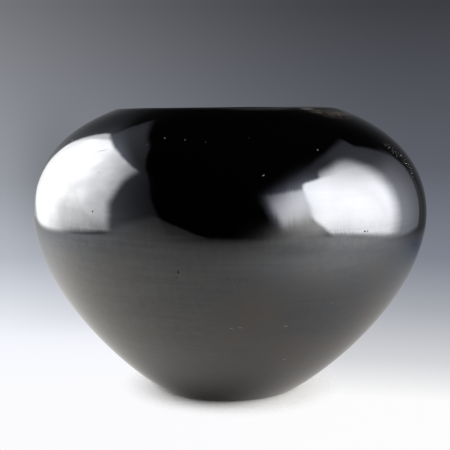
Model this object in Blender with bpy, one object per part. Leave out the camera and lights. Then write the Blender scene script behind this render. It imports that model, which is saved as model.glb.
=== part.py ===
# Burnished blackware bowl: one hand-built, stone-polished pot of fired clay.
# The pot is a round shell on a small flat foot. It widens to a high belly, and its
# shoulder closes in to a mouth with a rounded lip. The underside is slightly hollowed.
# Metres, +Z up, the origin under the belly's centre on the surface the foot rests on.

import math

import bmesh
import bpy
from mathutils import Vector

# Overall sizes
HEIGHT = 0.1450
BELLY_RADIUS = 0.1015
BELLY_HEIGHT = 0.0925

# Foot: a flat ring that carries the pot, round a shallow hollow
FOOT_RADIUS = 0.0376
FOOT_RING_WIDTH = 0.0110
FOOT_ROUNDING = 0.0030
FOOT_SLOPE = math.radians(34.4)
HOLLOW_DEPTH = 0.0012

# Outer wall: two cubic curves that meet upright at the belly
FOOT_REACH = 0.0230
BELLY_REACH_DOWN = 0.0388
BELLY_REACH_UP = 0.0180
MOUTH_REACH = 0.0376

# Mouth: the lip's centre circle, and how steeply the shoulder falls away from it
MOUTH_RADIUS = 0.0558
MOUTH_SLOPE = math.radians(18.7)
LIP_THICKNESS = 0.0049

# Wall and floor
WALL_THICKNESS = 0.0052
FOOT_WALL_THICKNESS = 0.0068
FLOOR_THICKNESS = 0.0080
FLOOR_SOFTNESS = 0.0080

# Hand building: the centre line leans and bows a little, and the rim isn't level
CENTRE_LEAN = -0.0009
CENTRE_BOW = 0.0015
RIM_TILT = 0.0005

# Mesh steps
SEGMENTS = 80
HOLLOW_STEPS = 4
ROUNDING_STEPS = 4
LOWER_STEPS = 11
UPPER_STEPS = 12
LIP_STEPS = 8
FLOOR_STEPS = 6
MERGE_DISTANCE = 1e-6

# Reduction-fired clay under a stone-polished slip, in linear colour
BLACKWARE_COLOUR = (0.0048, 0.0044, 0.0046, 1.0)
BLACKWARE_ROUGHNESS = 0.14
BLACKWARE_IOR = 1.85


def clear_scene():
    for obj in list(bpy.data.objects):
        bpy.data.objects.remove(obj, do_unlink=True)


def cubic(start, start_handle, end_handle, end, steps):
    """Points along a cubic curve, its start and its end included."""
    points = []
    for step in range(steps + 1):
        t = step / steps
        s = 1.0 - t
        points.append(
            s**3 * start
            + 3.0 * s * s * t * start_handle
            + 3.0 * s * t * t * end_handle
            + t**3 * end
        )
    return points


def arc(centre, radius, first_angle, last_angle, steps):
    """Points of a circle in the profile's plane, with angles from +radius towards +height."""
    points = []
    for step in range(steps + 1):
        angle = first_angle + (last_angle - first_angle) * step / steps
        points.append(centre + radius * Vector((math.cos(angle), math.sin(angle))))
    return points


def underside():
    """From the axis out to the flat foot ring's inner edge, as (radius, height)."""
    hollow_radius = FOOT_RADIUS - FOOT_RING_WIDTH
    points = []
    for step in range(HOLLOW_STEPS + 1):
        share = step / HOLLOW_STEPS
        points.append(Vector((hollow_radius * share, HOLLOW_DEPTH * (1.0 - share**2) ** 2)))
    return points


def foot_rounding():
    """The edge between the flat ring and the wall."""
    centre = Vector((FOOT_RADIUS, FOOT_ROUNDING))
    return arc(centre, FOOT_ROUNDING, -math.pi / 2, -math.pi / 2 + FOOT_SLOPE, ROUNDING_STEPS)


def lip_centre():
    return Vector((MOUTH_RADIUS, HEIGHT - LIP_THICKNESS / 2))


def outer_wall():
    """From the foot's rounding up over the belly and the shoulder to the lip."""
    foot = foot_rounding()[-1]
    belly = Vector((BELLY_RADIUS, BELLY_HEIGHT))
    lip_normal = Vector((math.sin(MOUTH_SLOPE), math.cos(MOUTH_SLOPE)))
    lip = lip_centre() + LIP_THICKNESS / 2 * lip_normal
    from_foot = Vector((math.cos(FOOT_SLOPE), math.sin(FOOT_SLOPE)))
    from_lip = Vector((math.cos(MOUTH_SLOPE), -math.sin(MOUTH_SLOPE)))
    upright = Vector((0.0, 1.0))
    lower = cubic(
        foot,
        foot + FOOT_REACH * from_foot,
        belly - BELLY_REACH_DOWN * upright,
        belly,
        LOWER_STEPS,
    )
    upper = cubic(
        belly,
        belly + BELLY_REACH_UP * upright,
        lip + MOUTH_REACH * from_lip,
        lip,
        UPPER_STEPS,
    )
    return lower + upper[1:]


def lip_rounding():
    """The half round from the shoulder's top over to the inside."""
    first = math.pi / 2 - MOUTH_SLOPE
    return arc(lip_centre(), LIP_THICKNESS / 2, first, first + math.pi, LIP_STEPS)


def wall_at(height):
    """Wall thickness: fullest at the foot, even over the belly, the lip's at the mouth."""
    if height < BELLY_HEIGHT:
        share = height / BELLY_HEIGHT
        return FOOT_WALL_THICKNESS + (WALL_THICKNESS - FOOT_WALL_THICKNESS) * share
    share = (height - BELLY_HEIGHT) / (HEIGHT - BELLY_HEIGHT)
    return WALL_THICKNESS + (LIP_THICKNESS - WALL_THICKNESS) * share


def inner_wall(outer):
    """The outer wall set in by its thickness, from the foot up, without the lip's end."""
    points = []
    for index in range(len(outer) - 1):
        before = outer[max(index - 1, 0)]
        after = outer[index + 1]
        along = (after - before).normalized()
        inward = Vector((-along.y, along.x))
        points.append(outer[index] + wall_at(outer[index].y) * inward)
    return points


def floor_line(wall_foot):
    """The inner wall's line carried on to the axis; raised_to_floor turns it into the floor."""
    points = []
    for step in range(FLOOR_STEPS):
        share = step / FLOOR_STEPS
        radius = wall_foot.x * share
        drop = (wall_foot.x - radius) * math.tan(FOOT_SLOPE)
        points.append(Vector((radius, wall_foot.y - drop)))
    return points


def raised_to_floor(point):
    """The wall runs down into the floor in one soft curve, a smooth maximum of the two heights."""
    above = point.y - FLOOR_THICKNESS
    softened = 0.5 * (above + math.sqrt(above**2 + FLOOR_SOFTNESS**2))
    return Vector((point.x, FLOOR_THICKNESS + softened))


def profile():
    """The whole closed section, from the underside's centre round to the floor's centre."""
    outer = outer_wall()
    inner = inner_wall(outer)
    inside = [raised_to_floor(point) for point in floor_line(inner[0]) + inner]
    return (
        underside()
        + foot_rounding()
        + outer[1:]
        + lip_rounding()[1:]
        + inside[::-1]
    )


def drift(height):
    share = height / HEIGHT
    return CENTRE_LEAN * share + CENTRE_BOW * 4.0 * share * (1.0 - share)


def hand_built(co):
    """Moves a point of the true round form to where the hand-built wall has it."""
    sideways = drift(co.z) - drift(BELLY_HEIGHT)
    raised = RIM_TILT * (co.z / HEIGHT) ** 3 * co.x / MOUTH_RADIUS
    return Vector((co.x + sideways, co.y, co.z + raised))


def blackware_material():
    material = bpy.data.materials.new("burnished_blackware")
    material.use_nodes = True
    shader = material.node_tree.nodes["Principled BSDF"]
    shader.inputs["Base Color"].default_value = BLACKWARE_COLOUR
    shader.inputs["Roughness"].default_value = BLACKWARE_ROUGHNESS
    shader.inputs["IOR"].default_value = BLACKWARE_IOR
    shader.inputs["Metallic"].default_value = 0.0
    return material


def make_bowl():
    form = bmesh.new()
    line = [form.verts.new((point.x, 0.0, point.y)) for point in profile()]
    edges = [form.edges.new(pair) for pair in zip(line, line[1:])]
    bmesh.ops.spin(
        form,
        geom=line + edges,
        cent=(0.0, 0.0, 0.0),
        axis=(0.0, 0.0, 1.0),
        angle=math.tau,
        steps=SEGMENTS,
        use_merge=True,
    )
    bmesh.ops.remove_doubles(form, verts=form.verts[:], dist=MERGE_DISTANCE)
    for vert in form.verts:
        vert.co = hand_built(vert.co)
    bmesh.ops.recalc_face_normals(form, faces=form.faces[:])
    mesh = bpy.data.meshes.new("bowl")
    form.to_mesh(mesh)
    form.free()
    mesh.shade_smooth()
    mesh.materials.append(blackware_material())
    bowl = bpy.data.objects.new("bowl", mesh)
    bpy.context.scene.collection.objects.link(bowl)
    return bowl


clear_scene()
make_bowl()
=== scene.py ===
# Burnished blackware bowl in a plain pale studio.
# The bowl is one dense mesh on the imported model's own measures. Its clay, polish and wear are
# node materials, and two soft lights, the table and the backdrop stand round it.

import math

import bpy
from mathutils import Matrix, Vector, noise


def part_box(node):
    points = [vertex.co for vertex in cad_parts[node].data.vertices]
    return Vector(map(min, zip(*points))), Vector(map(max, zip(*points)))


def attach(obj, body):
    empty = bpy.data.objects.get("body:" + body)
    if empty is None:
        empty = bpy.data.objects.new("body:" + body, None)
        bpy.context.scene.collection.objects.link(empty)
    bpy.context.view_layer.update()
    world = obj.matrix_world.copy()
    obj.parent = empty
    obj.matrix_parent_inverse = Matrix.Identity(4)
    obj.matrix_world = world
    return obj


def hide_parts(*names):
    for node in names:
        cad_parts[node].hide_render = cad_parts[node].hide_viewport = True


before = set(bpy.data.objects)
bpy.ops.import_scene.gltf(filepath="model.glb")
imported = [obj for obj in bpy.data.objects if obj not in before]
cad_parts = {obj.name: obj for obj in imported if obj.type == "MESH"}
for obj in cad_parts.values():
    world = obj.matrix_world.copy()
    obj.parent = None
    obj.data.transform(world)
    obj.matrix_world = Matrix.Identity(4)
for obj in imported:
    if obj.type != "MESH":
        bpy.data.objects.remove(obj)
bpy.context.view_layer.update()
low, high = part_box("bowl")

# How far the rim's tilt lifts its right side, as the model's source has it
RIM_TILT = 0.0005

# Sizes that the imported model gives
BELLY_RADIUS = (high.y - low.y) / 2
HEIGHT = high.z - low.z - RIM_TILT

# Sizes of the bowl's own section, in metres and radians, as the model's source has them
BELLY_HEIGHT = 0.0925
FOOT_RADIUS = 0.0376
FOOT_RING_WIDTH = 0.0110
FOOT_ROUNDING = 0.0030
FOOT_SLOPE = math.radians(34.4)
HOLLOW_DEPTH = 0.0012
FOOT_REACH = 0.0230
BELLY_REACH_DOWN = 0.0388
BELLY_REACH_UP = 0.0180
MOUTH_REACH = 0.0376
MOUTH_RADIUS = 0.0558
MOUTH_SLOPE = math.radians(18.7)
LIP_THICKNESS = 0.0049
WALL_THICKNESS = 0.0052
FOOT_WALL_THICKNESS = 0.0068
FLOOR_THICKNESS = 0.0080
FLOOR_SOFTNESS = 0.0080
CENTRE_LEAN = -0.0009
CENTRE_BOW = 0.0015

# Mesh steps: fine where the polish shows, coarser inside
SEGMENTS = 420
HOLLOW_STEPS = 9
RING_STEPS = 5
ROUNDING_STEPS = 5
LOWER_STEPS = 74
UPPER_STEPS = 62
LIP_STEPS = 12
INNER_LOWER_STEPS = 24
INNER_UPPER_STEPS = 20
FLOOR_STEPS = 9

# Unevenness of the hand-built wall: height of the waves and the size of one, in metres, then
# the noise's seed
FORM_WAVE = (0.00003, 0.060, 3.0)
PALM_WAVE = (0.000008, 0.018, 5.0)
STROKE_WAVE = (0.000012, 0.0055, 7.0)
LIP_WAVE = (0.00010, 0.022, 13.0)
SCRAPE_WAVE = (0.00035, 0.016, 11.0)

# The polishing strokes' waves are this long. The scraped ones follow only this share of the
# height, which draws them out upwards.
STROKE_LENGTH = 0.030
SCRAPE_STRETCH = 0.4

# The rim's front stands higher than its middle by this much and its back lower, and the whole
# rim is lifted by a share of it. This and the lip's waves fade out below the lip, with a power of
# the height.
FRONT_RISE = 0.00030
RIM_LIFT = 0.9
LIP_FADE = 30

# How far the polished slip runs down inside the mouth
SLIP_INSIDE = 0.012

# Camera at the photograph's place, in metres. The sensor and the lens give the view's width.
CAMERA_PLACE = (-0.00251, -0.4939, 0.1504)
CAMERA_PITCH = math.radians(90.0 - 7.688)
SENSOR_WIDTH = 36.0
LENS = 75.45


def linear(hex_colour):
    """The linear colour of an sRGB hex value such as #a0b1c2."""
    parts = [int(hex_colour[i : i + 2], 16) / 255 for i in (1, 3, 5)]
    return tuple(p / 12.92 if p <= 0.04045 else ((p + 0.055) / 1.055) ** 2.4 for p in parts) + (1.0,)


def add(tree, kind, inputs=None, out=0, **settings):
    """Adds a node with its settings and links, and gives back one of its outputs, if it has any."""
    node = tree.nodes.new(kind)
    for name, value in settings.items():
        setattr(node, name, value)
    for place, value in (inputs or {}).items():
        if isinstance(value, bpy.types.NodeSocket):
            tree.links.new(value, node.inputs[place])
        else:
            node.inputs[place].default_value = value
    return node.outputs[out] if len(node.outputs) else node


def cubic(start, start_handle, end_handle, end, steps):
    points = []
    for step in range(steps + 1):
        t = step / steps
        s = 1.0 - t
        points.append(
            s**3 * start + 3.0 * s * s * t * start_handle + 3.0 * s * t * t * end_handle + t**3 * end
        )
    return points


def arc(centre, radius, first_angle, last_angle, steps):
    points = []
    for step in range(steps + 1):
        angle = first_angle + (last_angle - first_angle) * step / steps
        points.append(centre + radius * Vector((math.cos(angle), math.sin(angle))))
    return points


def underside():
    """From the axis over the shallow hollow and the flat ring to the foot's edge."""
    hollow_radius = FOOT_RADIUS - FOOT_RING_WIDTH
    points = []
    for step in range(HOLLOW_STEPS + 1):
        share = step / HOLLOW_STEPS
        points.append(Vector((hollow_radius * share, HOLLOW_DEPTH * (1.0 - share**2) ** 2)))
    for step in range(1, RING_STEPS):
        points.append(Vector((hollow_radius + FOOT_RING_WIDTH * step / RING_STEPS, 0.0)))
    return points


def foot_rounding():
    centre = Vector((FOOT_RADIUS, FOOT_ROUNDING))
    return arc(centre, FOOT_ROUNDING, -math.pi / 2, -math.pi / 2 + FOOT_SLOPE, ROUNDING_STEPS)


def lip_centre():
    return Vector((MOUTH_RADIUS, HEIGHT - LIP_THICKNESS / 2))


def outer_wall(lower_steps, upper_steps):
    """From the foot's rounding up over the belly and the shoulder to the lip."""
    foot = foot_rounding()[-1]
    belly = Vector((BELLY_RADIUS, BELLY_HEIGHT))
    lip = lip_centre() + LIP_THICKNESS / 2 * Vector((math.sin(MOUTH_SLOPE), math.cos(MOUTH_SLOPE)))
    from_foot = Vector((math.cos(FOOT_SLOPE), math.sin(FOOT_SLOPE)))
    from_lip = Vector((math.cos(MOUTH_SLOPE), -math.sin(MOUTH_SLOPE)))
    upright = Vector((0.0, 1.0))
    lower = cubic(
        foot, foot + FOOT_REACH * from_foot, belly - BELLY_REACH_DOWN * upright, belly, lower_steps
    )
    upper = cubic(
        belly, belly + BELLY_REACH_UP * upright, lip + MOUTH_REACH * from_lip, lip, upper_steps
    )
    return lower + upper[1:]


def wall_at(height):
    """Wall thickness: fullest at the foot, even over the belly, the lip's at the mouth."""
    if height < BELLY_HEIGHT:
        return FOOT_WALL_THICKNESS + (WALL_THICKNESS - FOOT_WALL_THICKNESS) * height / BELLY_HEIGHT
    share = (height - BELLY_HEIGHT) / (HEIGHT - BELLY_HEIGHT)
    return WALL_THICKNESS + (LIP_THICKNESS - WALL_THICKNESS) * share


def inner_wall():
    """The outer wall set in by its thickness, from the foot up, without the lip's end."""
    outer = outer_wall(INNER_LOWER_STEPS, INNER_UPPER_STEPS)
    points = []
    for index in range(len(outer) - 1):
        along = (outer[index + 1] - outer[max(index - 1, 0)]).normalized()
        points.append(outer[index] + wall_at(outer[index].y) * Vector((-along.y, along.x)))
    return points


def floor_line(wall_foot):
    """The inner wall's line carried on to the axis."""
    points = []
    for step in range(FLOOR_STEPS):
        radius = wall_foot.x * step / FLOOR_STEPS
        points.append(Vector((radius, wall_foot.y - (wall_foot.x - radius) * math.tan(FOOT_SLOPE))))
    return points


def raised_to_floor(point):
    """The wall runs down into the floor in one soft curve."""
    above = point.y - FLOOR_THICKNESS
    return Vector((point.x, FLOOR_THICKNESS + 0.5 * (above + math.hypot(above, FLOOR_SOFTNESS))))


def drift(height):
    """How far the centre line stands to the side at a height."""
    share = height / HEIGHT
    return CENTRE_LEAN * share + CENTRE_BOW * 4.0 * share * (1.0 - share)


def hand_built(co):
    """Moves a point of the true round form to where the hand-built wall has it."""
    share = co.z / HEIGHT
    sideways = drift(co.z) - drift(BELLY_HEIGHT)
    raised = RIM_TILT * share**3 * co.x / MOUTH_RADIUS
    at_lip = wave(co, LIP_WAVE) + FRONT_RISE * (RIM_LIFT - co.y / MOUTH_RADIUS)
    raised += at_lip * share**LIP_FADE
    return Vector((co.x + sideways, co.y, co.z + raised))


def section():
    """The closed section with, for each point, how polished it is: 1 outside and 0 inside."""
    under = [(point, 0.0) for point in underside()]
    foot = [(point, step / ROUNDING_STEPS) for step, point in enumerate(foot_rounding())]
    outer = [(point, 1.0) for point in outer_wall(LOWER_STEPS, UPPER_STEPS)[1:]]
    first = math.pi / 2 - MOUTH_SLOPE
    rounding = arc(lip_centre(), LIP_THICKNESS / 2, first, first + math.pi, LIP_STEPS)
    lip = [(point, 1.0) for point in rounding[1:]]
    wall = inner_wall()
    lip_end = lip[-1][0]
    inside = []
    for point in [raised_to_floor(p) for p in floor_line(wall[0]) + wall][::-1]:
        run = (point - lip_end).length
        inside.append((point, max(0.0, 1.0 - 0.5 * run / SLIP_INSIDE)))
    return under + foot + outer + lip + inside


def wave(co, amount):
    """Smooth unevenness of the given height, size and seed at a point."""
    height, size, seed = amount
    return height * noise.noise(co / size + Vector((seed, 2.0 * seed, 0.0)))


def unevenness(co, angle, run, polished):
    """How far the surface stands proud of the true form, from hand building and polishing."""
    if polished < 0.5:
        return wave(Vector((co.x, co.y, co.z * SCRAPE_STRETCH)), SCRAPE_WAVE)
    strokes = Vector((angle * BELLY_RADIUS, run * STROKE_WAVE[1] / STROKE_LENGTH, 0.0))
    return wave(co, FORM_WAVE) + wave(co, PALM_WAVE) + wave(strokes, STROKE_WAVE)


def make_bowl():
    line = section()
    count = len(line)
    verts = []
    polish = []
    runs = []
    run = 0.0
    for index, (point, polished) in enumerate(line):
        before = line[max(index - 1, 0)][0]
        after = line[min(index + 1, count - 1)][0]
        run += (point - before).length
        along = (after - before).normalized()
        out = Vector((along.y, -along.x))
        copies = 1 if index in (0, count - 1) else SEGMENTS
        for segment in range(copies):
            angle = math.tau * segment / SEGMENTS
            across = Vector((math.cos(angle), math.sin(angle), 0.0))
            co = point.x * across + Vector((0.0, 0.0, point.y))
            if 0 < index < count - 1 and point.y > HOLLOW_DEPTH:
                outward = out.x * across + Vector((0.0, 0.0, out.y))
                co += outward * unevenness(co, angle, run, polished)
            verts.append(hand_built(co))
            polish.append(polished)
            runs.append(run)
    faces = []
    for index in range(count - 1):
        first = 0 if index == 0 else 1 + (index - 1) * SEGMENTS
        second = 1 + index * SEGMENTS
        for segment in range(SEGMENTS):
            following = (segment + 1) % SEGMENTS
            if index == 0:
                faces.append((first, second + following, second + segment))
            elif index == count - 2:
                faces.append((first + segment, first + following, second))
            else:
                faces.append((first + segment, first + following, second + following, second + segment))
    mesh = bpy.data.meshes.new("blackware_bowl")
    mesh.from_pydata(verts, [], faces)
    mesh.update()
    mesh.shade_smooth()
    mesh.attributes.new("polish", "FLOAT", "POINT").data.foreach_set("value", polish)
    mesh.attributes.new("run", "FLOAT", "POINT").data.foreach_set("value", runs)
    bowl = bpy.data.objects.new("blackware_bowl", mesh)
    bpy.context.scene.collection.objects.link(bowl)
    return bowl


# Marks are placed and sized in millimetres
MM = 0.001

# Rubbing with a stone leaves narrow flats, up and down and round the bowl: width and length of
# one in metres, and how far it tilts the mirror image, as a slope
UPRIGHT_STROKES = (0.0009, 0.022, 0.030)
LEVEL_STROKES = (0.0017, 0.036, 0.018)
BROAD_STROKES = (0.0055, 0.050, 0.022)

# Between two strokes a hairline is sometimes left: the same three sizes, and the noise's values
# between which it appears
HAIRLINES = (0.00035, 0.016, 0.050)
HAIRLINE_EDGE = (0.08, 0.20)

# Where the upright strokes show most, and where the level ones do, in millimetres: middle and
# radius
UPRIGHT_PLACES = [(24.0, -97.0, 100.0, 26.0), (48.0, -88.0, 96.0, 20.0), (-62.0, -79.0, 96.0, 18.0)]
LEVEL_PLACES = [(30.0, -90.0, 117.0, 17.0), (-12.0, -99.0, 95.0, 14.0)]

# How strong the two are elsewhere, then there
UPRIGHT_STRENGTH = (0.4, 1.3)
LEVEL_STRENGTH = (0.7, 2.6)

# Small matt marks in millimetres: place, then radius. Light ones are grit and scuffs, dark ones
# are pits in the slip. Most places here and below come from the photograph, and a program
# found where they lie on the bowl.
LIGHT_MARKS = [
    (-29.1, -75.2, 132.8, 0.34), (-19.7, -79.1, 132.1, 0.34), (-11.0, -81.8, 131.3, 0.38),
    (38.3, -77.5, 127.5, 0.38), (13.7, -93.6, 117.5, 0.32), (66.8, -75.9, 98.5, 0.45),
    (-24.0, -70.2, 135.6, 0.22), (-3.5, -92.0, 119.5, 0.25), (6.0, -99.0, 103.0, 0.22),
    (-30.5, -75.7, 42.3, 0.32), (-4.6, -82.1, 43.0, 0.30), (-6.9, -63.9, 21.9, 0.30),
    (45.2, -80.6, 59.2, 0.34), (-3.0, -74.0, 32.0, 0.24), (33.0, -85.0, 62.0, 0.24),
    (-76.3, -36.4, 129.9, 0.34), (-74.5, -39.5, 129.5, 0.28), (-79.0, -30.0, 130.0, 0.26),
]
# The dark marks are pits in the slip whose darkness is painted shade: below, they mirror nothing
DARK_MARKS = [
    (-22.5, -96.6, 76.3, 0.62), (-23.4, -95.7, 73.6, 0.55), (-22.9, -87.3, 56.2, 0.60),
    (-60.9, -80.5, 100.6, 0.60), (59.2, -82.5, 92.0, 0.66), (60.5, -81.5, 92.0, 0.62),
    (-58.1, -65.8, 126.7, 0.62), (-56.6, -66.7, 127.0, 0.50), (-59.6, -64.9, 126.3, 0.48),
    (-1.3, -98.5, 74.0, 0.45), (3.6, -98.1, 72.6, 0.48), (-16.6, -56.0, 16.1, 0.45),
    (2.0, -56.5, 14.0, 0.40), (-58.8, -74.6, 117.4, 0.34), (68.0, -68.0, 113.0, 0.34),
    (-86.0, -50.0, 93.0, 0.40), (61.0, -74.0, 112.0, 0.30),
]

# Scratches in millimetres: middle, half length round the bowl, half length up it, half depth
SCRATCHES = [
    (24.4, -83.2, 49.4, 1.7, 0.28, 3.0), (0.5, -86.4, 49.2, 1.0, 0.25, 3.0),
    (4.3, -86.6, 49.6, 0.9, 0.28, 3.0), (25.2, -66.7, 29.5, 1.4, 0.22, 3.0),
]

# Places where the slip is rubbed through to brown, in the same way. The last one is no wear
# but a painted highlight: a glint along the lip's front edge, in the same brown.
WORN_LIP_AND_GLINT = [
    (50.5, -36.0, 142.4, 15.0, 5.4, 8.0), (58.0, -24.0, 142.4, 7.0, 2.4, 5.0),
    (41.5, -42.5, 143.6, 8.0, 3.0, 5.0), (36.5, -42.6, 145.2, 7.0, 0.9, 2.5),
]

# Places on the lip's front that were pressed flatter: each in the same way, then the slope that
# the mirror image tilts by
PRESSED_LIP = [
    ((15.0, -56.3, 145.2, 27.0, 1.1, 9.0), 0.36), ((37.2, -44.6, 145.1, 7.5, 1.0, 4.0), 0.40),
]

# A place on the shoulder with many small specks, in millimetres: middle and radius
PITTED_SHOULDER = [
    (75.6, -42.6, 127.0, 4.5), (78.5, -41.0, 125.0, 8.0), (81.5, -39.0, 123.0, 7.5),
    (84.5, -38.7, 119.4, 6.0), (87.0, -39.0, 115.6, 4.6), (88.6, -40.4, 112.0, 3.6),
]

# How soft the edges of the marks are, as a share of their size, and how many degrees the
# scratches lean
LIGHT_SOFT = 0.7
DARK_SOFT = 0.8
SCRATCH_SOFT = 0.5
WORN_AND_GLINT_SOFT = 0.9
PRESSED_SOFT = 0.6
SCRATCH_LEAN = 12.0

# Size of one patch or cell of each pattern in the clay and the polish
CLOUD = 38.462 * MM
STROKE_PATCH = 35.714 * MM
STREWN_CELL = 9.0909 * MM
RAGGED_SLIP = 6.25 * MM
MOTTLE = 3.8462 * MM
BLOTCH = 3.125 * MM
CROOK = 1.1111 * MM
SPECK_CELL = 1.0204 * MM

# The slip's edge lies between these values of its share plus half the ragged noise
SLIP_EDGE = (0.72, 0.84)

# Share of the strewn cells that stay empty, how strong a strewn mark is, and where its edge lies
# and a speck's, as shares of a cell
STREWN_EMPTY = 0.86
STREWN_STRENGTH = 0.4
STREWN_EDGE = (0.032, 0.012)
SPECK_EDGE = (0.38, 0.15)

# Heights over which the clay's colours begin to show through the polish, and over which its thin
# streaks mirror less, with the share that they lose above and below
CLAY_SHOWS = (0.094, 0.080)
MIRRORS_LESS = (0.100, 0.086)
MIRROR_LOST = (0.03, 0.20)

# The way in which the clay's brown grows over the smoke's blue, by so much a metre: down and left
BROWNER = (-1.5, 0.0, -6.0)

# How far a mark's outline strays, in metres
STRAY = 1.7 * MM

# Colours: the polished slip, the smoke's blue and the clay's brown that show through it, the
# unpolished clay, the worn lip and the grit
BLACK_SLIP = "#020202"
SMOKE_BLUE = "#191f28"
CLAY_BROWN = "#3a2e26"
BARE_CLAY = "#221e1b"
WORN_AND_GLINT_BROWN = "#4b453b"
PALE_GRIT = "#8c8886"

# How strongly the polish mirrors, and how rough it is between and in the strokes, what a
# hairline adds, and how rough the unpolished clay and the marks are
POLISH_IOR = 1.85
POLISH_ROUGHNESS = (0.03, 0.07)
HAIRLINE_ROUGHNESS = 0.06
CLAY_ROUGHNESS = 0.62
MARK_ROUGHNESS = 0.7


def near_any(tree, place, spots, soft):
    """1 at the spots and 0 beyond their radius, with an edge of the given share of it."""
    total = 0.0
    for x, y, z, radius in spots:
        middle = (x * MM, y * MM, z * MM)
        away = add(tree, "ShaderNodeVectorMath", {0: place, 1: middle}, out=1, operation="DISTANCE")
        spot = add(
            tree, "ShaderNodeMapRange",
            {"Value": away, "From Min": radius * MM, "From Max": radius * MM * (1.0 - soft)},
            interpolation_type="SMOOTHSTEP",
        )
        total = add(tree, "ShaderNodeMath", {0: spot, 1: total}, operation="MAXIMUM")
    return total


def near_streaks(tree, place, streaks, lean, soft):
    """1 in the middle of long marks round the bowl, which lean by some degrees, and 0 beyond them."""
    total = 0.0
    for x, y, z, half_round, half_up, half_deep in streaks:
        turn = math.atan2(y, x) + math.pi / 2
        mapped = add(
            tree, "ShaderNodeMapping",
            {
                "Vector": place, "Location": (x * MM, y * MM, z * MM),
                "Rotation": (0.0, math.radians(lean), turn),
                "Scale": (half_round * MM, half_deep * MM, half_up * MM),
            },
            vector_type="TEXTURE",
        )
        away = add(tree, "ShaderNodeVectorMath", {0: mapped}, out=1, operation="LENGTH")
        mark = add(tree, "ShaderNodeMapRange", {"Value": away, "From Min": 1.0, "From Max": 1.0 - soft})
        total = add(tree, "ShaderNodeMath", {0: mark, 1: total}, operation="MAXIMUM")
    return total


def stroke_noise(tree, ring, run, across, along):
    """Noise between -0.5 and 0.5 in streaks, across metres round the bowl and along metres up it."""
    turned = add(
        tree, "ShaderNodeVectorMath", {0: ring, 1: (BELLY_RADIUS / across,) * 3}, operation="MULTIPLY"
    )
    up = add(tree, "ShaderNodeMath", {0: run, 1: along}, operation="DIVIDE")
    height = add(tree, "ShaderNodeCombineXYZ", {2: up})
    place = add(tree, "ShaderNodeVectorMath", {0: turned, 1: height}, operation="ADD")
    streaks = add(
        tree, "ShaderNodeTexNoise", {"Vector": place, "Scale": 1.0, "Detail": 2.0, "Roughness": 0.6}
    )
    return add(tree, "ShaderNodeMath", {0: streaks, 1: 0.5}, operation="SUBTRACT")


def slip_cover(tree, place):
    """1 where the slip covers the clay, and 0 beyond its ragged end."""
    polish = add(tree, "ShaderNodeAttribute", out=2, attribute_name="polish")
    ragged = add(tree, "ShaderNodeTexNoise", {"Vector": place, "Scale": 1.0 / RAGGED_SLIP, "Detail": 3.0})
    edge = add(tree, "ShaderNodeMath", {0: ragged, 1: 0.5, 2: polish}, operation="MULTIPLY_ADD")
    return add(
        tree, "ShaderNodeMapRange", {"Value": edge, "From Min": SLIP_EDGE[0], "From Max": SLIP_EDGE[1]},
        interpolation_type="SMOOTHSTEP",
    )


def stone_strokes(tree, place):
    """The stone's strokes and the hairlines left between them, each as a pattern over the bowl."""
    run = add(tree, "ShaderNodeAttribute", out=2, attribute_name="run")
    level = add(tree, "ShaderNodeVectorMath", {0: place, 1: (1.0, 1.0, 0.0)}, operation="MULTIPLY")
    ring = add(tree, "ShaderNodeVectorMath", {0: level}, operation="NORMALIZE")
    gap = stroke_noise(tree, ring, run, HAIRLINES[0], HAIRLINES[1])
    return {
        "upright": stroke_noise(tree, ring, run, UPRIGHT_STROKES[0], UPRIGHT_STROKES[1]),
        "level": stroke_noise(tree, ring, run, LEVEL_STROKES[1], LEVEL_STROKES[0]),
        "broad": stroke_noise(tree, ring, run, BROAD_STROKES[1], BROAD_STROKES[0]),
        "hairline": add(
            tree, "ShaderNodeMapRange",
            {"Value": gap, "From Min": HAIRLINE_EDGE[0], "From Max": HAIRLINE_EDGE[1]},
        ),
    }


def strength_near(tree, place, places, strengths):
    """The first strength elsewhere and the second one at the places."""
    near = near_any(tree, place, places, 1.0)
    return add(
        tree, "ShaderNodeMapRange", {"Value": near, "To Min": strengths[0], "To Max": strengths[1]}
    )


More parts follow.
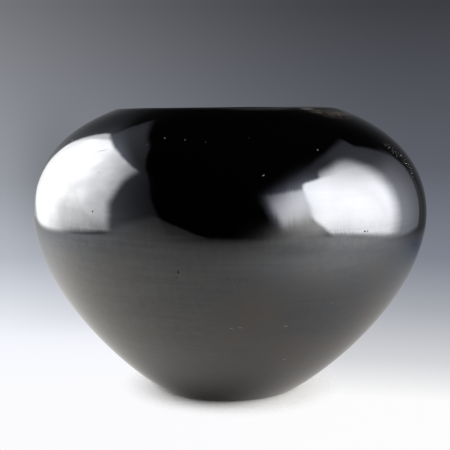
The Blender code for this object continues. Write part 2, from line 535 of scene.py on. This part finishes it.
def tilted_surface(tree, place, slip, strokes):
    """The way the surface faces, tilted a little by the strokes and by the lip's pressed places."""
    patchy = add(tree, "ShaderNodeTexNoise", {"Vector": place, "Scale": 1.0 / STROKE_PATCH, "Detail": 1.0})
    strength = add(
        tree, "ShaderNodeMapRange", {"Value": patchy, "From Min": 0.35, "From Max": 0.65, "To Min": 0.35}
    )
    strength = add(tree, "ShaderNodeMath", {0: strength, 1: slip}, operation="MULTIPLY")
    upright_here = strength_near(tree, place, UPRIGHT_PLACES, UPRIGHT_STRENGTH)
    level_here = strength_near(tree, place, LEVEL_PLACES, LEVEL_STRENGTH)
    normal = add(tree, "ShaderNodeNewGeometry", out=1)
    side = add(tree, "ShaderNodeVectorMath", {0: (0.0, 0.0, 1.0), 1: normal}, operation="CROSS_PRODUCT")
    rising = add(tree, "ShaderNodeVectorMath", {0: normal, 1: side}, operation="CROSS_PRODUCT")
    tilted = normal
    for stroke, slope, direction, here in (
        (strokes["upright"], UPRIGHT_STROKES[2], rising, upright_here),
        (strokes["hairline"], -HAIRLINES[2], rising, upright_here),
        (strokes["level"], LEVEL_STROKES[2], side, level_here),
        (strokes["broad"], BROAD_STROKES[2], side, 1.0),
    ):
        amount = add(tree, "ShaderNodeMath", {0: stroke, 1: slope}, operation="MULTIPLY")
        amount = add(tree, "ShaderNodeMath", {0: amount, 1: here}, operation="MULTIPLY")
        amount = add(tree, "ShaderNodeMath", {0: amount, 1: strength}, operation="MULTIPLY")
        tilted = add(
            tree, "ShaderNodeVectorMath", {0: direction, 1: amount, 2: tilted}, operation="MULTIPLY_ADD"
        )
    for streak, slope in PRESSED_LIP:
        pressed = near_streaks(tree, place, [streak], 0.0, PRESSED_SOFT)
        amount = add(tree, "ShaderNodeMath", {0: pressed, 1: slope}, operation="MULTIPLY")
        tilted = add(
            tree, "ShaderNodeVectorMath", {0: rising, 1: amount, 2: tilted}, operation="MULTIPLY_ADD"
        )
    return add(tree, "ShaderNodeVectorMath", {0: tilted}, operation="NORMALIZE")


def strewn_marks(tree, place):
    """A few small dots all over the bowl."""
    cells = add(tree, "ShaderNodeTexVoronoi", {"Vector": place, "Scale": 1.0 / STREWN_CELL}).node
    chance = add(tree, "ShaderNodeSeparateXYZ", {0: cells.outputs["Color"]})
    chosen = add(tree, "ShaderNodeMath", {0: chance, 1: STREWN_EMPTY}, operation="GREATER_THAN")
    dot = add(
        tree, "ShaderNodeMapRange",
        {
            "Value": cells.outputs["Distance"], "From Min": STREWN_EDGE[0],
            "From Max": STREWN_EDGE[1], "To Max": STREWN_STRENGTH,
        },
    )
    return add(tree, "ShaderNodeMath", {0: dot, 1: chosen}, operation="MULTIPLY")


def pitted_shoulder(tree, place, blotch):
    """Many small specks in clumps, where the shoulder is pitted."""
    specks = add(tree, "ShaderNodeTexVoronoi", {"Vector": place, "Scale": 1.0 / SPECK_CELL}).node
    chance = add(tree, "ShaderNodeSeparateXYZ", {0: specks.outputs["Color"]})
    grain = add(tree, "ShaderNodeMapRange", {"Value": chance, "From Min": 0.25, "From Max": 0.85})
    grit = add(
        tree, "ShaderNodeMapRange",
        {"Value": specks.outputs["Distance"], "From Min": SPECK_EDGE[0], "From Max": SPECK_EDGE[1]},
    )
    grit = add(tree, "ShaderNodeMath", {0: grit, 1: grain}, operation="MULTIPLY")
    clump = add(
        tree, "ShaderNodeMapRange", {"Value": blotch, "From Min": 0.38, "From Max": 0.55, "To Min": 0.35}
    )
    grit = add(tree, "ShaderNodeMath", {0: grit, 1: clump}, operation="MULTIPLY")
    rubbed = near_any(tree, place, PITTED_SHOULDER, 1.0)
    return add(tree, "ShaderNodeMath", {0: grit, 1: rubbed}, operation="MULTIPLY")


def crooked_place(tree, place):
    """The place on the bowl with a fine jitter, which gives the marks their crooked outlines."""
    jitter = add(tree, "ShaderNodeTexNoise", {"Vector": place, "Scale": 1.0 / CROOK, "Detail": 2.0}, out=1)
    jitter = add(tree, "ShaderNodeVectorMath", {0: jitter, 1: (0.5, 0.5, 0.5)}, operation="SUBTRACT")
    return add(
        tree, "ShaderNodeVectorMath", {0: jitter, 1: (STRAY,) * 3, 2: place}, operation="MULTIPLY_ADD"
    )


def worn_lip_and_glint(tree, crooked, blotch, level_strokes):
    """Where the lip is rubbed through to brown, in smears, and a painted glint on its front edge."""
    worn_and_glint = near_streaks(tree, crooked, WORN_LIP_AND_GLINT, 0.0, WORN_AND_GLINT_SOFT)
    smear = add(tree, "ShaderNodeMath", {0: blotch, 1: level_strokes}, operation="ADD")
    smear = add(tree, "ShaderNodeMapRange", {"Value": smear, "From Min": 0.25, "From Max": 0.75})
    return add(tree, "ShaderNodeMath", {0: worn_and_glint, 1: smear}, operation="MULTIPLY")


def thin_polish(tree, place, strokes):
    """Faint streaks in which the polish is thinner."""
    mottle = add(
        tree, "ShaderNodeTexNoise", {"Vector": place, "Scale": 1.0 / MOTTLE, "Detail": 3.0, "Roughness": 0.7}
    )
    streaky = add(
        tree, "ShaderNodeMath", {0: strokes["upright"], 1: 0.4, 2: strokes["level"]}, operation="MULTIPLY_ADD"
    )
    streaky = add(tree, "ShaderNodeMath", {0: streaky, 1: mottle}, operation="ADD")
    return add(tree, "ShaderNodeMapRange", {"Value": streaky, "From Min": 0.30, "From Max": 0.70})


def slip_colour(tree, place, height, thin):
    """Nearly black. Low down the clay's brown and the smoke's blue show through where it is thin."""
    low_down = add(
        tree, "ShaderNodeMapRange", {"Value": height, "From Min": CLAY_SHOWS[0], "From Max": CLAY_SHOWS[1]},
        interpolation_type="SMOOTHSTEP",
    )
    through = add(tree, "ShaderNodeMath", {0: thin, 1: low_down}, operation="MULTIPLY")
    cloud = add(tree, "ShaderNodeTexNoise", {"Vector": place, "Scale": 1.0 / CLOUD, "Detail": 1.0})
    lower = add(tree, "ShaderNodeVectorMath", {0: place, 1: BROWNER}, out=1, operation="DOT_PRODUCT")
    lower = add(tree, "ShaderNodeMath", {0: lower, 1: cloud}, operation="ADD")
    brown = add(tree, "ShaderNodeMapRange", {"Value": lower, "From Min": 0.10, "From Max": 0.32})
    tint = add(
        tree, "ShaderNodeMix", {0: brown, 6: linear(SMOKE_BLUE), 7: linear(CLAY_BROWN)}, out=2,
        data_type="RGBA",
    )
    return add(
        tree, "ShaderNodeMix", {0: through, 6: linear(BLACK_SLIP), 7: tint}, out=2, data_type="RGBA"
    )


def lost_mirror(tree, height, thin):
    """How much less the thin streaks mirror, which is more low down."""
    most = add(
        tree, "ShaderNodeMapRange",
        {
            "Value": height, "From Min": MIRRORS_LESS[0], "From Max": MIRRORS_LESS[1],
            "To Min": MIRROR_LOST[0], "To Max": MIRROR_LOST[1],
        },
        interpolation_type="SMOOTHSTEP",
    )
    return add(tree, "ShaderNodeMath", {0: thin, 1: most}, operation="MULTIPLY")


def polish_roughness(tree, strokes):
    """Very smooth, a little less so in the upright strokes and in the hairlines."""
    roughness = add(
        tree, "ShaderNodeMapRange",
        {
            "Value": strokes["upright"], "From Min": 0.0, "From Max": 0.25,
            "To Min": POLISH_ROUGHNESS[0], "To Max": POLISH_ROUGHNESS[1],
        },
    )
    return add(
        tree, "ShaderNodeMath", {0: strokes["hairline"], 1: HAIRLINE_ROUGHNESS, 2: roughness},
        operation="MULTIPLY_ADD",
    )


def blackware():
    """Smoke-blackened clay under a thin slip that was rubbed with a smooth stone.

    The slip is nearly black, and its polish mirrors soft lights clearly. The stone's narrow
    flats break the mirrored edges into fine streaks. Grit, pits and scratches stay matt, and the
    pits are painted black as the shade in them. The lip and one place on the shoulder show wear,
    the lip's front also a painted glint in the wear's brown, and the clay inside and under the
    foot is unpolished.
    """
    material = bpy.data.materials.new("burnished_black_slip")
    material.use_nodes = True
    tree = material.node_tree
    tree.nodes.clear()
    place = add(tree, "ShaderNodeTexCoord", out=3)
    height = add(tree, "ShaderNodeSeparateXYZ", {0: place}, out=2)
    crooked = crooked_place(tree, place)
    blotch = add(
        tree, "ShaderNodeTexNoise",
        {"Vector": place, "Scale": 1.0 / BLOTCH, "Detail": 4.0, "Roughness": 0.65},
    )
    slip = slip_cover(tree, place)
    strokes = stone_strokes(tree, place)
    thin = thin_polish(tree, place, strokes)
    worn_and_glint = worn_lip_and_glint(tree, crooked, blotch, strokes["level"])

    # Marks: chosen ones, a few strewn all over, the pitted place and the scratches
    light_marks = near_any(tree, crooked, LIGHT_MARKS, LIGHT_SOFT)
    for more in (
        strewn_marks(tree, place),
        pitted_shoulder(tree, place, blotch),
        near_streaks(tree, crooked, SCRATCHES, SCRATCH_LEAN, SCRATCH_SOFT),
    ):
        light_marks = add(tree, "ShaderNodeMath", {0: light_marks, 1: more}, operation="MAXIMUM")
    dark_marks = near_any(tree, crooked, DARK_MARKS, DARK_SOFT)

    # Over the bare clay: the slip, the brown of wear, whose last mark is a painted glint on the lip, and the
    # grit
    colour = linear(BARE_CLAY)
    for share, over in (
        (slip, slip_colour(tree, place, height, thin)),
        (worn_and_glint, linear(WORN_AND_GLINT_BROWN)),
        (light_marks, linear(PALE_GRIT)),
    ):
        colour = add(tree, "ShaderNodeMix", {0: share, 6: colour, 7: over}, out=2, data_type="RGBA")

    matt = add(tree, "ShaderNodeMath", {0: light_marks, 1: dark_marks}, operation="MAXIMUM")
    roughness = CLAY_ROUGHNESS
    for share, over in ((slip, polish_roughness(tree, strokes)), (matt, MARK_ROUGHNESS)):
        roughness = add(tree, "ShaderNodeMix", {0: share, 2: roughness, 3: over}, data_type="FLOAT")

    # Black with the metal's share raised takes the mirror away: in the dark marks this is painted
    # shade, as in a pit, and in the thin streaks it is the weaker polish
    weaker = lost_mirror(tree, height, thin)
    dull = add(tree, "ShaderNodeMath", {0: dark_marks, 1: weaker}, operation="MAXIMUM")
    shader = add(
        tree, "ShaderNodeBsdfPrincipled",
        {
            "Base Color": colour, "Roughness": roughness, "Metallic": dull, "IOR": POLISH_IOR,
            "Normal": tilted_surface(tree, place, slip, strokes),
        },
    )
    add(tree, "ShaderNodeOutputMaterial", {"Surface": shader})
    return material


def bell(tree, place, centre, widths, turn):
    """A round glow over a plane, 1 at its centre. Its two widths lie turned by some degrees."""
    cosine, sine = math.cos(math.radians(turn)), math.sin(math.radians(turn))
    parts = []
    for (across, up), width in zip(((cosine, sine), (-sine, cosine)), widths):
        shift = -(across * centre[0] + up * centre[1])
        line = (across / width, up / width, shift / width)
        parts.append(add(tree, "ShaderNodeVectorMath", {0: place, 1: line}, out=1, operation="DOT_PRODUCT"))
    off = add(tree, "ShaderNodeCombineXYZ", {0: parts[0], 1: parts[1]})
    distance = add(tree, "ShaderNodeVectorMath", {0: off, 1: off}, out=1, operation="DOT_PRODUCT")
    fall = add(tree, "ShaderNodeMath", {0: distance, 1: -1.0}, operation="MULTIPLY")
    return add(tree, "ShaderNodeMath", {0: fall}, operation="EXPONENT")


def within(tree, place, edges):
    """1 on the inner side of every edge and 0 outside. An edge is (normal, softness)."""
    share = 1.0
    for normal, soft in edges:
        depth = add(tree, "ShaderNodeVectorMath", {0: place, 1: normal}, out=1, operation="DOT_PRODUCT")
        inside = add(
            tree, "ShaderNodeMapRange", {"Value": depth, "From Min": -soft, "From Max": soft},
            interpolation_type="SMOOTHSTEP",
        )
        share = add(tree, "ShaderNodeMath", {0: inside, 1: share}, operation="MULTIPLY")
    return share


def toward(azimuth, elevation):
    """The direction so many degrees to the right of the camera's side and above level."""
    a, e = math.radians(azimuth), math.radians(elevation)
    return Vector((math.sin(a) * math.cos(e), -math.cos(a) * math.cos(e), math.sin(e)))


# The studio as the polish mirrors it, seen from the bowl. An edge is the direction square to the
# plane in which it lies, towards the lit side, as (degrees round to the right from the camera's
# side, degrees above level), and its softness in degrees. The glow inside is brightest at its
# centre and fades over its widths. A program fitted these numbers, and those of the table below,
# to the photograph's reflections. Later some edges were moved or fitted again.
MIRRORED_LIGHTS = [
    {
        "name": "left soft light",
        "light": (7.6, 7.64, 7.77),
        "edges": [
            (-65.6, -11.7, 1.0), (-69.9, -23.1, 1.2), (-69.7, 61.7, 1.3), (-95.4, -39.6, 1.0),
            (-161.0, -4.4, 3.6), (-119.3, 68.9, 1.0), (-117.2, 78.6, 2.6),
        ],
        "centre": (-111.6, 25.7),
        "widths": (46.0, 33.1),
        "turn": -28.8,
        "folds": 0.22,
    },
    {
        "name": "left light's far side",
        "light": (4.3, 4.33, 4.42),
        "edges": [
            (-65.6, -11.7, 1.0), (110.1, 23.1, 1.2), (-95.4, -39.6, 1.0),
        ],
        "centre": (-111.6, 25.7),
        "widths": (46.0, 33.1),
        "turn": -28.8,
    },
    {
        "name": "right soft light",
        "light": (10.1, 10.2, 10.6),
        "edges": [
            (134.9, -3.8, 2.0), (140.8, 36.0, 2.0), (16.6, 4.0, 8.0), (69.7, -46.5, 1.8),
            (100.6, 77.1, 3.5), (117.4, -24.8, 1.5),
        ],
        "centre": (69.7, 19.1),
        "widths": (53.4, 37.6),
        "turn": -42.0,
    },
    {
        "name": "right light's top",
        "light": (15.8, 16.0, 17.0),
        "edges": [
            (132.8, -23.0, 1.5), (24.8, -6.3, 5.3), (88.5, -41.3, 3.4), (-110.3, 46.5, 1.8),
        ],
        "centre": (81.6, 20.7),
        "widths": (23.0, 21.7),
        "turn": 0.1,
    },
    {
        "name": "right light's inner side",
        "light": (4.54, 4.54, 4.53),
        "edges": [
            (117.6, 9.5, 3.0), (-45.1, 3.8, 2.0), (48.4, -53.8, 2.5), (-64.0, 74.6, 9.3),
        ],
        "centre": (42.1, 21.3),
        "widths": (14.7, 42.7),
        "turn": -34.6,
    },
    {
        "name": "right light's outer side",
        "light": (3.2, 3.3, 3.68),
        "edges": [
            (-166.2, 19.9, 7.0), (47.4, 7.2, 1.3), (100.8, -60.0, 6.1), (81.9, 74.9, 1.5),
        ],
        "centre": (70.3, 11.6),
        "widths": (31.9, 45.8),
        "turn": 55.0,
    },
    {
        "name": "glow round the right light",
        "light": (0.515, 0.532, 0.648),
        "edges": [
            (135.1, 5.2, 2.7), (54.5, -15.5, 1.9), (87.4, -33.6, 1.8), (89.0, 73.1, 1.7),
        ],
        "centre": (83.6, 4.0),
        "widths": (33.8, 58.2),
        "turn": -39.3,
    },
    {
        "name": "glow's top corner",
        "light": (0.515, 0.532, 0.648),
        "edges": [
            (-125.5, 15.5, 1.9), (14.6, 28.7, 1.5), (87.4, -33.6, 1.8), (-15.9, 43.4, 1.5),
        ],
        "centre": (83.6, 4.0),
        "widths": (33.8, 58.2),
        "turn": -39.3,
    },
    {
        "name": "glow between the lights and the camera",
        "light": (1.87, 1.97, 2.5),
        "edges": [
            (114.8, 9.3, 4.0), (-39.7, 24.9, 3.3), (86.8, -35.4, 10.1), (55.0, 80.8, 2.0),
        ],
        "centre": (42.5, 27.0),
        "widths": (26.3, 15.1),
        "turn": 30.8,
    },
    {
        "name": "table's lit edge, right",
        "light": (2.87, 2.86, 2.83),
        "edges": [
            (87.9, -5.2, 4.8), (-29.2, -9.4, 11.8), (50.4, 56.0, 2.8),
        ],
        "centre": (56.1, 5.1),
        "widths": (29.0, 11.2),
        "turn": 34.1,
    },
    {
        "name": "table's dim edge, left",
        "light": (0.408, 0.407, 0.406),
        "edges": [
            (32.3, -59.3, 3.8), (-119.0, -55.4, 1.3), (-49.2, 77.3, 2.2),
        ],
        "centre": (-61.8, -19.2),
        "widths": (50.0, 24.9),
        "turn": -2.7,
    },
    {
        "name": "glow round the left light",
        "light": (2.27, 2.35, 2.7),
        "edges": [
            (10.0, 47.3, 11.8), (6.8, 46.3, 1.2), (-98.4, -27.6, 1.2), (-117.7, -28.5, 0.8),
            (-126.6, -20.8, 1.4), (-107.7, 67.4, 2.0),
        ],
        "centre": (-120.8, -28.8),
        "widths": (44.6, 54.2),
        "turn": -12.4,
    },
    {
        "name": "dim light over the left light",
        "light": (0.533, 0.579, 0.75),
        "edges": [
            (-99.5, -37.4, 3.6),
        ],
        "centre": (-113.6, 47.7),
        "widths": (29.7, 25.3),
        "turn": -9.4,
    },
    {
        "name": "left light's bright side",
        "light": (2.47, 2.52, 2.6),
        "edges": [
            (158.4, -32.5, 7.4),
        ],
        "centre": (-122.4, 0.5),
        "widths": (21.5, 60.8),
        "turn": -31.9,
    },
    {
        "name": "pale strip behind, right",
        "light": (0.22, 0.22, 0.23),
        "edges": [
            (90.0, 0.0, 3.0),
        ],
        "centre": (174.0, 12.0),
        "widths": (2.6, 7.0),
        "turn": 0.0,
    },
    {
        "name": "backdrop behind",
        "light": (0.126, 0.129, 0.147),
        "centre": (180.0, -0.0),
        "widths": (39.8, 22.6),
        "turn": 15.3,
    },
]


# Backdrop colours by degrees above level, at the left and the right of the photograph's view.
# They were read there from the photograph, and a program chose these few stops among them.
BACKDROP_LEFT = [
    (-17.0, "#fbfbfe"), (-14.2, "#f5f7fe"), (-9.5, "#b7bcc6"), (-5.0, "#9a9da5"), (5.4, "#74757a"),
]
BACKDROP_RIGHT = [
    (-17.8, "#fcfcfc"), (-15.6, "#d4d5d9"), (-12.5, "#a8abb2"), (-9.5, "#818591"), (-4.0, "#5e616a"),
    (5.4, "#3d3e43"),
]

# The degrees above level between which those colours run
BACKDROP_SPAN = (-20.0, 8.0)

# The left colours give way to the right ones across the view, by a direction's part to the right.
# Above the first of the low degrees they do so from this much left to as much right, with a
# power. Below the second they end at the first low side and are whole beyond the second.
BACKDROP_SIDE = 0.2277
BACKDROP_POWER = 1.95
BACKDROP_LOW = (-12.5, -15.5)
BACKDROP_LOW_SIDES = (0.12, -0.10)

# The soft shade on the backdrop, just left of the bowl: middle and widths, as a direction's part
# to the right and degrees above level, and how much it takes away
SHADE_MIDDLE = (-0.177, -4.9)
SHADE_WIDTHS = (0.037, 3.65)
SHADE_DEPTH = 0.28

# One fold of the left light's cloth as seen from the bowl, in radians
CLOTH_FOLD = 0.25

# Even light for what isn't polished, as a level of light
FILL = (0.25, 0.25, 0.25, 1.0)


def seen_backdrop(tree, rightness, elevation):
    """The backdrop that the camera sees: white low down, blue-grey higher up, darker to the right."""
    lowest, highest = BACKDROP_SPAN
    height = add(tree, "ShaderNodeMapRange", {"Value": elevation, "From Min": lowest, "From Max": highest})
    ramps = []
    for stops in (BACKDROP_LEFT, BACKDROP_RIGHT):
        node = tree.nodes.new("ShaderNodeValToRGB")
        tree.links.new(height, node.inputs[0])
        ramp = node.color_ramp
        while len(ramp.elements) < len(stops):
            ramp.elements.new(0.5)
        heights, colours = zip(*stops)
        for element, degrees in zip(ramp.elements, heights):
            element.position = (degrees - lowest) / (highest - lowest)
        for element, colour in zip(ramp.elements, colours):
            element.color = linear(colour)
        ramps.append(node.outputs[0])
    across = add(
        tree, "ShaderNodeMapRange",
        {
            "Value": rightness, "From Min": -BACKDROP_SIDE, "From Max": BACKDROP_SIDE,
            "To Min": 1.0, "To Max": 0.0,
        },
    )
    leftness = add(tree, "ShaderNodeMath", {0: across, 1: BACKDROP_POWER}, operation="POWER")
    low_left = add(
        tree, "ShaderNodeMapRange",
        {
            "Value": rightness, "From Min": BACKDROP_LOW_SIDES[0],
            "From Max": BACKDROP_LOW_SIDES[1],
        },
        interpolation_type="SMOOTHSTEP",
    )
    lowness = add(
        tree, "ShaderNodeMapRange",
        {"Value": elevation, "From Min": BACKDROP_LOW[0], "From Max": BACKDROP_LOW[1]},
        interpolation_type="SMOOTHSTEP",
    )
    leftness = add(tree, "ShaderNodeMix", {0: lowness, 2: leftness, 3: low_left}, data_type="FLOAT")
    backdrop = add(tree, "ShaderNodeMix", {0: leftness, 6: ramps[1], 7: ramps[0]}, out=2, data_type="RGBA")
    seen_at = add(tree, "ShaderNodeCombineXYZ", {0: rightness, 1: elevation, 2: 1.0})
    shade = bell(tree, seen_at, SHADE_MIDDLE, SHADE_WIDTHS, 0.0)
    shade = add(tree, "ShaderNodeMath", {0: shade, 1: -SHADE_DEPTH, 2: 1.0}, operation="MULTIPLY_ADD")
    return add(tree, "ShaderNodeVectorMath", {0: backdrop, 1: shade}, operation="MULTIPLY")


def studio_world():
    """Pale backdrop for the camera, soft lights for the polish, even fill for the rest."""
    world = bpy.data.worlds.new("studio")
    bpy.context.scene.world = world
    world.use_nodes = True
    tree = world.node_tree
    tree.nodes.clear()
    direction = add(tree, "ShaderNodeTexCoord")
    parts = add(tree, "ShaderNodeSeparateXYZ", {0: direction}).node
    back = add(tree, "ShaderNodeMath", {0: parts.outputs[1], 1: -1.0}, operation="MULTIPLY")
    turn = add(tree, "ShaderNodeMath", {0: parts.outputs[0], 1: back}, operation="ARCTAN2")
    azimuth = add(tree, "ShaderNodeMath", {0: turn}, operation="DEGREES")
    rise = add(tree, "ShaderNodeMath", {0: parts.outputs[2]}, operation="ARCSINE")
    elevation = add(tree, "ShaderNodeMath", {0: rise}, operation="DEGREES")
    sky = add(tree, "ShaderNodeCombineXYZ", {0: azimuth, 1: elevation, 2: 1.0})
    # The backdrop stands on both sides of the turn's end, so its glow takes the turn's size
    size = add(tree, "ShaderNodeMath", {0: azimuth}, operation="ABSOLUTE")
    folded = add(tree, "ShaderNodeCombineXYZ", {0: size, 1: elevation, 2: 1.0})

    # Folds in the left light's cloth
    cloth = add(tree, "ShaderNodeTexNoise", {"Vector": direction, "Scale": 1.0 / CLOTH_FOLD, "Detail": 2.0})

    mirrored = (0.0, 0.0, 0.0)
    for light in MIRRORED_LIGHTS:
        edges = [(toward(a, e), math.sin(math.radians(soft))) for a, e, soft in light.get("edges", [])]
        place = sky if edges else folded
        glow = bell(tree, place, light["centre"], light["widths"], light["turn"])
        glow.node.label = light["name"]
        if edges:
            share = within(tree, direction, edges)
            glow = add(tree, "ShaderNodeMath", {0: share, 1: glow}, operation="MULTIPLY")
        if "folds" in light:
            fold = add(
                tree, "ShaderNodeMapRange",
                {
                    "Value": cloth, "From Min": 0.35, "From Max": 0.65,
                    "To Min": 1.0 - light["folds"] / 2, "To Max": 1.0 + light["folds"] / 2,
                },
            )
            glow = add(tree, "ShaderNodeMath", {0: fold, 1: glow}, operation="MULTIPLY")
        mirrored = add(
            tree, "ShaderNodeVectorMath", {0: glow, 1: light["light"], 2: mirrored}, operation="MULTIPLY_ADD"
        )

    ray = tree.nodes.new("ShaderNodeLightPath")
    backdrop = seen_backdrop(tree, parts.outputs[0], elevation)
    seen = FILL
    for kind, shown in (("Is Glossy Ray", mirrored), ("Is Camera Ray", backdrop)):
        seen = add(tree, "ShaderNodeMix", {0: ray.outputs[kind], 6: seen, 7: shown}, out=2, data_type="RGBA")
    surface = add(tree, "ShaderNodeBackground", {"Color": seen, "Strength": 1.0})
    add(tree, "ShaderNodeOutputWorld", {"Surface": surface})
    world.cycles.sampling_method = "NONE"


# The table's light as the polish mirrors it, painted on the table: name, colour, centre and
# widths in metres, turn in degrees. The shades are painted shadow that darkens it by its own
# share, with the bowl's contact shadow by its foot.
TABLE_GLOWS = [
    ("table all over", (0.46, 0.443, 0.428), (0.006, 0.008), (9.002, 8.903), 0.0),
    ("left lobe", (0.568, 0.551, 0.497), (-0.192, 0.002), (0.127, 0.19), 43.2),
    ("right lobe", (1.87, 1.93, 2.01), (0.363, -0.275), (0.199, 0.31), -11.3),
    ("front", (0.501, 0.528, 0.541), (0.147, -0.154), (0.118, 0.067), 35.7),
    ("left far", (0.733, 0.801, 0.906), (-0.496, 0.03), (0.292, 0.349), 8.7),
]

TABLE_SHADES = [
    ("contact", (0.89, 0.89, 0.885), (-0.011, -0.035), (0.033, 0.019), -21.6),
    ("behind right", (0.721, 0.67, 0.538), (0.279, 0.237), (0.117, 0.228), 3.5),
]

# The part of the table that the polish mirrors: each edge's angle, its distance and softness
TABLE_EDGES = [(174.5, 0.489, 0.065), (25.7, 0.415, 0.121), (-82.2, 0.429, 0.218)]

# How far from the middle the camera sees the table itself, where the bowl's shadow lies: whole
# within the first radius and gone beyond the second
TABLE_SEEN = (0.034, 0.060)
TABLE_SEEN_MIDDLE = (0.001, -0.005)

LAMINATE_WHITE = "#f7f6f3"

# The table top, in metres
TABLE_RADIUS = 0.75
TABLE_SEGMENTS = 96


def table_top():
    """Smooth white laminate that melts into the backdrop away from the bowl.

    The polish mirrors it as painted light: glows, and painted shadow round the bowl.
    """
    material = bpy.data.materials.new("white_laminate_and_painted_light")
    material.use_nodes = True
    tree = material.node_tree
    tree.nodes.clear()
    position = add(tree, "ShaderNodeTexCoord", out=3)
    parts = add(tree, "ShaderNodeSeparateXYZ", {0: position}).node
    place = add(tree, "ShaderNodeCombineXYZ", {0: parts.outputs[0], 1: parts.outputs[1], 2: 1.0})

    # As the polish mirrors it: painted light, darkened by the painted shadow of the shades
    light = (0.0, 0.0, 0.0)
    for name, colour, centre, widths, turn in TABLE_GLOWS:
        glow = bell(tree, place, centre, widths, turn)
        glow.node.label = name
        light = add(tree, "ShaderNodeVectorMath", {0: glow, 1: colour, 2: light}, operation="MULTIPLY_ADD")
    for name, colour, centre, widths, turn in TABLE_SHADES:
        shade = bell(tree, place, centre, widths, turn)
        shade.node.label = name
        darker = tuple(-part for part in colour)
        left_over = add(
            tree, "ShaderNodeVectorMath", {0: shade, 1: darker, 2: (1.0, 1.0, 1.0)}, operation="MULTIPLY_ADD"
        )
        light = add(tree, "ShaderNodeVectorMath", {0: light, 1: left_over}, operation="MULTIPLY")
    edges = []
    for angle, limit, soft in TABLE_EDGES:
        a = math.radians(angle)
        edges.append(((-math.cos(a), -math.sin(a), limit), soft))
    clear = add(tree, "ShaderNodeBsdfTransparent")
    glowing = add(tree, "ShaderNodeEmission", {"Color": light})
    mirrored = add(tree, "ShaderNodeMixShader", {0: within(tree, place, edges), 1: clear, 2: glowing})

    # As the camera sees it: plain white, with the bowl's soft shadow
    flat = add(tree, "ShaderNodeCombineXYZ", {0: parts.outputs[0], 1: parts.outputs[1]})
    radius = add(
        tree, "ShaderNodeVectorMath", {0: flat, 1: TABLE_SEEN_MIDDLE + (0.0,)}, out=1, operation="DISTANCE"
    )
    share = add(
        tree, "ShaderNodeMapRange",
        {"Value": radius, "From Min": TABLE_SEEN[1], "From Max": TABLE_SEEN[0]},
        interpolation_type="SMOOTHSTEP",
    )
    white = add(tree, "ShaderNodeBsdfDiffuse", {"Color": linear(LAMINATE_WHITE)})
    plain = add(tree, "ShaderNodeMixShader", {0: share, 1: clear, 2: white})

    ray = tree.nodes.new("ShaderNodeLightPath")
    top = add(tree, "ShaderNodeMixShader", {0: ray.outputs["Is Glossy Ray"], 1: plain, 2: mirrored})
    behind = add(tree, "ShaderNodeNewGeometry", out=6)
    surface = add(tree, "ShaderNodeMixShader", {0: behind, 1: top, 2: clear})
    add(tree, "ShaderNodeOutputMaterial", {"Surface": surface})
    return material


def make_table():
    ring = []
    for segment in range(TABLE_SEGMENTS):
        angle = math.tau * segment / TABLE_SEGMENTS
        ring.append((TABLE_RADIUS * math.cos(angle), TABLE_RADIUS * math.sin(angle), 0.0))
    mesh = bpy.data.meshes.new("table")
    mesh.from_pydata(ring, [], [tuple(range(TABLE_SEGMENTS))])
    mesh.materials.append(table_top())
    table = bpy.data.objects.new("table", mesh)
    bpy.context.scene.collection.objects.link(table)


# Soft lamps that light everything plainly: direction in degrees as above, distance and size in
# metres, and watts. The polish doesn't mirror them, because the world holds what it mirrors.
LAMPS = [
    ("right lamp", 75, 22, 1.3, 0.8, 26.0),
    ("left lamp", -112, 22, 1.3, 0.8, 18.0),
    ("top lamp", 0, 90, 1.5, 1.2, 7.5),
]


def make_lamps():
    for name, azimuth, elevation, distance, size, watts in LAMPS:
        data = bpy.data.lights.new(name, "AREA")
        data.shape = "SQUARE"
        data.size = size
        data.energy = watts
        out = toward(azimuth, elevation)
        lamp = bpy.data.objects.new(name, data)
        lamp.location = Vector((0.0, 0.0, HEIGHT / 2)) + distance * out
        lamp.rotation_euler = out.to_track_quat("Z", "Y").to_euler()
        lamp.visible_glossy = False
        bpy.context.scene.collection.objects.link(lamp)


def make_camera():
    data = bpy.data.cameras.new("camera")
    data.sensor_width = SENSOR_WIDTH
    data.lens = LENS
    camera = bpy.data.objects.new("camera", data)
    camera.location = CAMERA_PLACE
    camera.rotation_euler = (CAMERA_PITCH, 0.0, 0.0)
    bpy.context.scene.collection.objects.link(camera)
    bpy.context.scene.camera = camera


bowl = make_bowl()
bowl.data.materials.append(blackware())
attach(bowl, "root")
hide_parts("bowl")
make_table()
make_lamps()
studio_world()
make_camera()
bpy.context.scene.view_settings.view_transform = "Standard"
